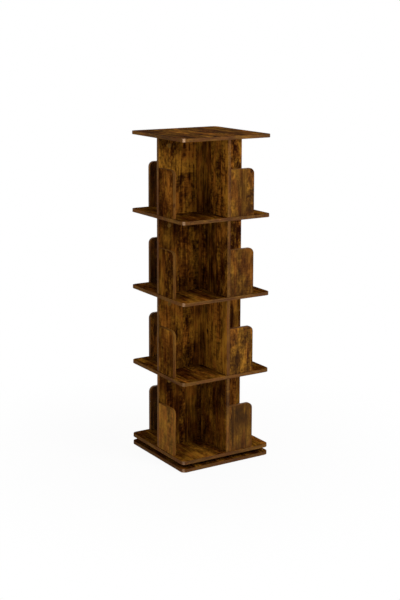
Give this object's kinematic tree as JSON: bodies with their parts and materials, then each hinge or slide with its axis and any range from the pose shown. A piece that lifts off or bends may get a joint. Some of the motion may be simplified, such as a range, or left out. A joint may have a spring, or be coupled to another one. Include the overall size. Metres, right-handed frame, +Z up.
{
  "type": "revolving bookcase",
  "caption": "Tall square bookcase of stacked shelves with pinwheel walls and low book stops, all turning as one on a ball-bearing turntable.",
  "frame": {"origin": "on the floor, on the vertical axis that the shelves turn about, at the centre of the base plate", "axes": "+Z up, the front is -Y, +X is to the right seen from the front"},
  "size_m": [0.45, 0.45, 1.445],
  "materials": {
    "laminate": "rustic brown wood-grain laminate on particle board, satin",
    "zinc_sheet": "zinc-plated pressed sheet",
    "steel": "bright",
    "nylon": "black, moulded",
    "felt": "pressed grey felt"
  },
  "bodies": {
    "base": {"base_plate": "laminate", "foot_pad_1": "felt", "foot_pad_2": "felt", "foot_pad_3": "felt", "foot_pad_4": "felt", "lower_race": "zinc_sheet", "king_pin": "steel", "centre_bush": "nylon"},
    "ball_ring": {"ball_cage": "nylon", "bearing_ball_1": "steel", "bearing_ball_2": "steel", "bearing_ball_3": "steel", "bearing_ball_4": "steel", "bearing_ball_5": "steel", "bearing_ball_6": "steel", "bearing_ball_7": "steel", "bearing_ball_8": "steel", "bearing_ball_9": "steel", "bearing_ball_10": "steel", "bearing_ball_11": "steel", "bearing_ball_12": "steel"},
    "carousel": {"upper_race": "zinc_sheet", "bottom_deck": "laminate", "shelf_1": "laminate", "shelf_2": "laminate", "shelf_3": "laminate", "top_board": "laminate", "tier1_front_wall": "laminate", "tier1_front_stop": "laminate", "tier1_right_wall": "laminate", "tier1_right_stop": "laminate", "tier1_back_wall": "laminate", "tier1_back_stop": "laminate", "tier1_left_wall": "laminate", "tier1_left_stop": "laminate", "tier2_front_wall": "laminate", "tier2_front_stop": "laminate", "tier2_right_wall": "laminate", "tier2_right_stop": "laminate", "tier2_back_wall": "laminate", "tier2_back_stop": "laminate", "tier2_left_wall": "laminate", "tier2_left_stop": "laminate", "tier3_front_wall": "laminate", "tier3_front_stop": "laminate", "tier3_right_wall": "laminate", "tier3_right_stop": "laminate", "tier3_back_wall": "laminate", "tier3_back_stop": "laminate", "tier3_left_wall": "laminate", "tier3_left_stop": "laminate", "tier4_front_wall": "laminate", "tier4_front_stop": "laminate", "tier4_right_wall": "laminate", "tier4_right_stop": "laminate", "tier4_back_wall": "laminate", "tier4_back_stop": "laminate", "tier4_left_wall": "laminate", "tier4_left_stop": "laminate"}
  },
  "joints": [
    {"name": "carousel_spin", "type": "hinge", "parent": "base", "child": "carousel", "pos_m": [0, 0, 0.028], "axis": [0, 0, 1], "continuous": true},
    {"name": "ball_ring_spin", "type": "hinge", "parent": "base", "child": "ball_ring", "pos_m": [0, 0, 0.028], "axis": [0, 0, 1], "continuous": true}
  ],
  "couplings": [
    {"joint": "ball_ring_spin", "follows": "carousel_spin", "ratio": 0.5}
  ]
}
